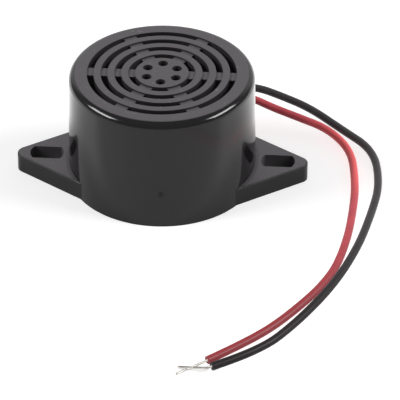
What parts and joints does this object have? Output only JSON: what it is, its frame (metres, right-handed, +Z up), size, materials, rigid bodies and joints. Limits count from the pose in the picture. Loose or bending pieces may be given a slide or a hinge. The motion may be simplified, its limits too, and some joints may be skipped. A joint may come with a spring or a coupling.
{
  "type": "piezo buzzer",
  "caption": "Round black piezo buzzer with a concentric ring-slot grille, slotted mounting lugs on opposite sides, and loose red and black leads",
  "frame": {"origin": "centre of the flat base of the round body, on the mounting plane", "axes": "+X through the middles of both mounting lugs, +Z up out of the grille, -Y the side that the free ends of the leads lie on"},
  "size_m": [0.0597, 0.0748, 0.0195],
  "materials": {
    "housing_plastic": "near-black moulded plastic, glossy wall and satin top",
    "baffle_plastic": "black moulded plastic",
    "cover_plastic": "black moulded plastic",
    "brass_sheet": "rolled brass sheet",
    "piezo_ceramic": "fired lead zirconate ceramic",
    "silver_layer": "fired silver paste",
    "silicone": "white silicone adhesive",
    "board_laminate": "phenolic paper laminate",
    "ferrite": "sintered ferrite",
    "enamelled_copper": "enamelled copper wire",
    "tinned_wire": "tinned copper",
    "solder": "solder",
    "moulding_compound": "black epoxy moulding compound",
    "resistor_coat": "beige lacquer with colour bands",
    "thin_wire_sleeve": "coloured insulation",
    "hot_melt": "milky hot-melt glue",
    "red_insulation": "red insulation",
    "black_insulation": "black insulation"
  },
  "bodies": {
    "root": {"housing": "housing_plastic", "baffle": "baffle_plastic", "back_cover": "cover_plastic", "brass_disc": "brass_sheet", "piezo_ceramic": "piezo_ceramic", "silver_electrode": "silver_layer", "disc_adhesive": "silicone", "circuit_board": "board_laminate", "inductor_core": "ferrite", "inductor_winding": "enamelled_copper", "inductor_pins": "tinned_wire", "transistor_body": "moulding_compound", "transistor_legs": "tinned_wire", "resistor_1_body": "resistor_coat", "resistor_1_wires": "tinned_wire", "resistor_2_body": "resistor_coat", "resistor_2_wires": "tinned_wire", "ceramic_wire": "thin_wire_sleeve", "brass_wire": "thin_wire_sleeve", "ceramic_solder": "solder", "brass_solder": "solder", "board_solder": "solder", "lead_glue": "hot_melt", "red_lead": "red_insulation", "black_lead": "black_insulation", "red_lead_inner": "red_insulation", "black_lead_inner": "black_insulation", "red_lead_inner_end": "tinned_wire", "black_lead_inner_end": "tinned_wire", "red_lead_end": "tinned_wire", "black_lead_end": "tinned_wire"}
  },
  "joints": []
}
